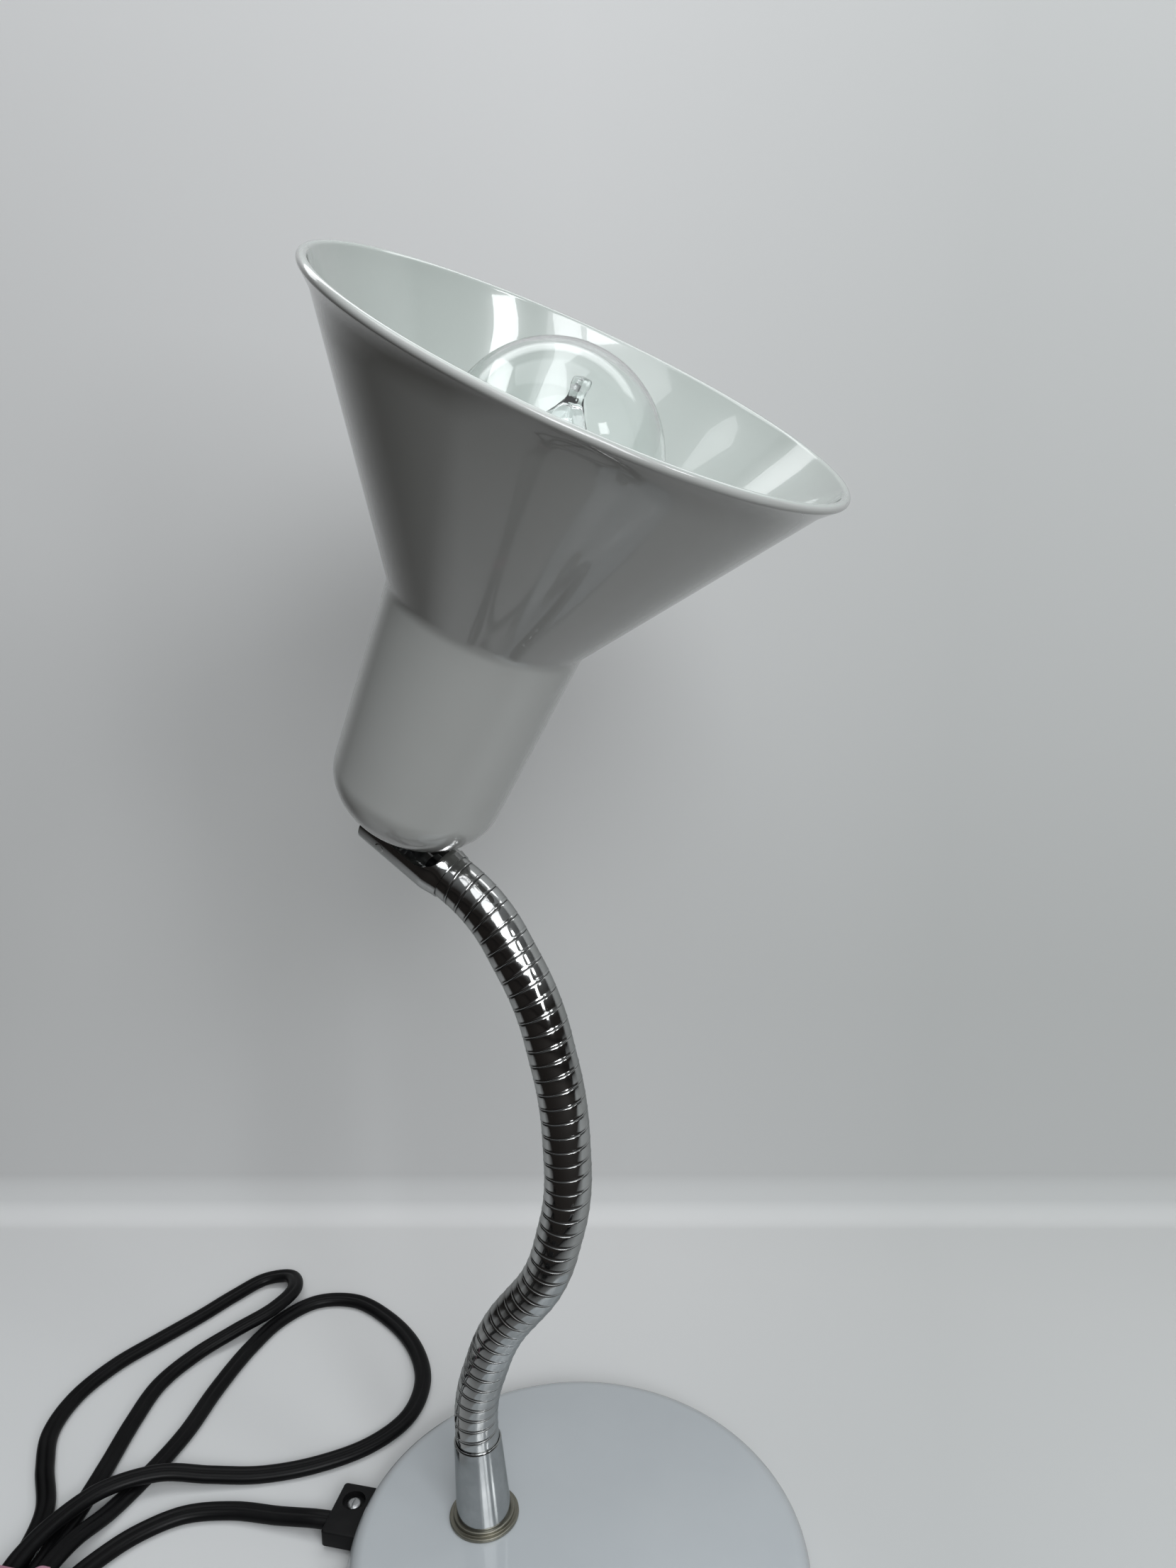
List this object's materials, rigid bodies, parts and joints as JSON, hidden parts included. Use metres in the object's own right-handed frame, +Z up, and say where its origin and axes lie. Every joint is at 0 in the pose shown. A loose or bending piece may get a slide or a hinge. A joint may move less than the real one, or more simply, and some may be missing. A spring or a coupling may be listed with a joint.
{
  "type": "desk lamp",
  "caption": "Gooseneck desk lamp: flexible chrome arm on a round domed base, tilting white cone shade, clear screw-in bulb and black mains flex with in-line switch and plug.",
  "frame": {"origin": "Middle of the round base, on the desk.", "axes": "+Z up along the lamp's height; the flex leaves the base towards -X; the clear side of the base faces +X."},
  "size_m": [0.3505, 0.2903, 0.4325],
  "materials": {
    "white_paint": "glossy white stoved enamel",
    "chrome": "polished chrome plate, lightly tarnished",
    "nickel": "dull nickel plate",
    "zinc_steel": "zinc-plated steel",
    "cast_iron": "rough, black-dipped",
    "felt": "dark felt",
    "black_plastic": "smooth black moulding",
    "black_flex": "smooth black vinyl sheath, soft sheen",
    "brass": "turned brass",
    "plug_metal": "nickel-plated brass",
    "porcelain": "white porcelain",
    "bulb_glass": "clear blown glass",
    "bulb_metal": "plain aluminium screw cap",
    "black_glass": "black vitrite",
    "tie_plastic": "thin coated tie"
  },
  "bodies": {
    "base": {"felt_pad": "felt", "bottom_plate": "zinc_steel", "plate_screws": "zinc_steel", "cover_studs": "zinc_steel", "ballast_disc": "cast_iron", "base_cover": "white_paint", "cord_block_lower": "black_plastic", "cord_block_upper": "black_plastic", "cord_block_screw": "zinc_steel", "base_flex": "black_flex", "base_nipple": "brass", "lock_washer": "zinc_steel", "nipple_nut": "zinc_steel", "neck_washer": "nickel", "neck_ferrule": "chrome", "neck_section_1": "chrome", "free_flex": "black_flex", "flex_hank": "black_flex", "flex_tie": "tie_plastic", "switch_base": "black_plastic", "switch_cover": "black_plastic", "switch_screws": "zinc_steel", "plug_body": "black_plastic", "plug_pins": "plug_metal"},
    "neck_2": {"neck_section_2": "chrome", "neck_flex_2": "black_flex"},
    "neck_3": {"neck_section_3": "chrome", "neck_flex_3": "black_flex"},
    "neck_4": {"neck_section_4": "chrome", "neck_flex_4": "black_flex"},
    "neck_5": {"neck_section_5": "chrome", "neck_flex_5": "black_flex"},
    "neck_6": {"neck_section_6": "chrome", "neck_flex_6": "black_flex"},
    "neck_7": {"neck_section_7": "chrome", "neck_flex_7": "black_flex", "swivel_fork": "chrome", "swivel_pin": "chrome"},
    "head": {"tilt_stud": "zinc_steel", "shade": "white_paint", "shade_washer": "zinc_steel", "distance_tube": "zinc_steel", "lampholder_cap": "black_plastic", "lampholder_skirt": "black_plastic", "lampholder_insert": "porcelain", "lampholder_sleeve": "brass", "centre_contact": "brass", "terminal_screws": "zinc_steel", "head_flex": "black_flex"},
    "bulb": {"bulb_glass": "bulb_glass", "bulb_cap": "bulb_metal", "bulb_insulator": "black_glass", "bulb_contact": "plug_metal", "bulb_stem": "bulb_glass", "halogen_capsule": "bulb_glass", "filament": "bulb_metal", "bulb_leads": "bulb_metal"},
    "rocker": {"switch_rocker": "black_plastic"}
  },
  "joints": [
    {"name": "neck_bend_1", "type": "hinge", "parent": "base", "child": "neck_2", "pos_m": [-0.03132, -0.00133, 0.08105], "axis": [0.2419, 0.9703, 0], "range_deg": [-20, 20]},
    {"name": "neck_bend_2", "type": "hinge", "parent": "neck_2", "child": "neck_3", "pos_m": [-0.01678, -0.00495, 0.10942], "axis": [0.785, -0.1957, -0.5878], "range_deg": [-20, 20]},
    {"name": "neck_bend_3", "type": "hinge", "parent": "neck_3", "child": "neck_4", "pos_m": [-0.00417, -0.0081, 0.13865], "axis": [0.2419, 0.9703, 0], "range_deg": [-20, 20]},
    {"name": "neck_bend_4", "type": "hinge", "parent": "neck_4", "child": "neck_5", "pos_m": [-0.00161, -0.00874, 0.17065], "axis": [0.969, -0.2416, 0.0523], "range_deg": [-20, 20]},
    {"name": "neck_bend_5", "type": "hinge", "parent": "neck_5", "child": "neck_6", "pos_m": [-0.0068, -0.00744, 0.20241], "axis": [0.2419, 0.9703, 0], "range_deg": [-20, 20]},
    {"name": "neck_bend_6", "type": "hinge", "parent": "neck_6", "child": "neck_7", "pos_m": [-0.01962, -0.00425, 0.23168], "axis": [0.8229, -0.2052, 0.5299], "range_deg": [-20, 20]},
    {"name": "head_tilt", "type": "hinge", "parent": "neck_7", "child": "head", "pos_m": [-0.05993, 0.00598, 0.26134], "axis": [0.2668, 0.9629, 0.0414], "range_deg": [-8, 1.5]},
    {"name": "bulb_out", "type": "slide", "parent": "head", "child": "bulb", "axis": [0.4356, -0.1588, 0.886], "range_m": [0, 0.024]},
    {"name": "switch_rock", "type": "hinge", "parent": "base", "child": "rocker", "pos_m": [-0.069, -0.146, 0.0135], "axis": [0, 1, 0], "range_deg": [-16, 0]}
  ]
}
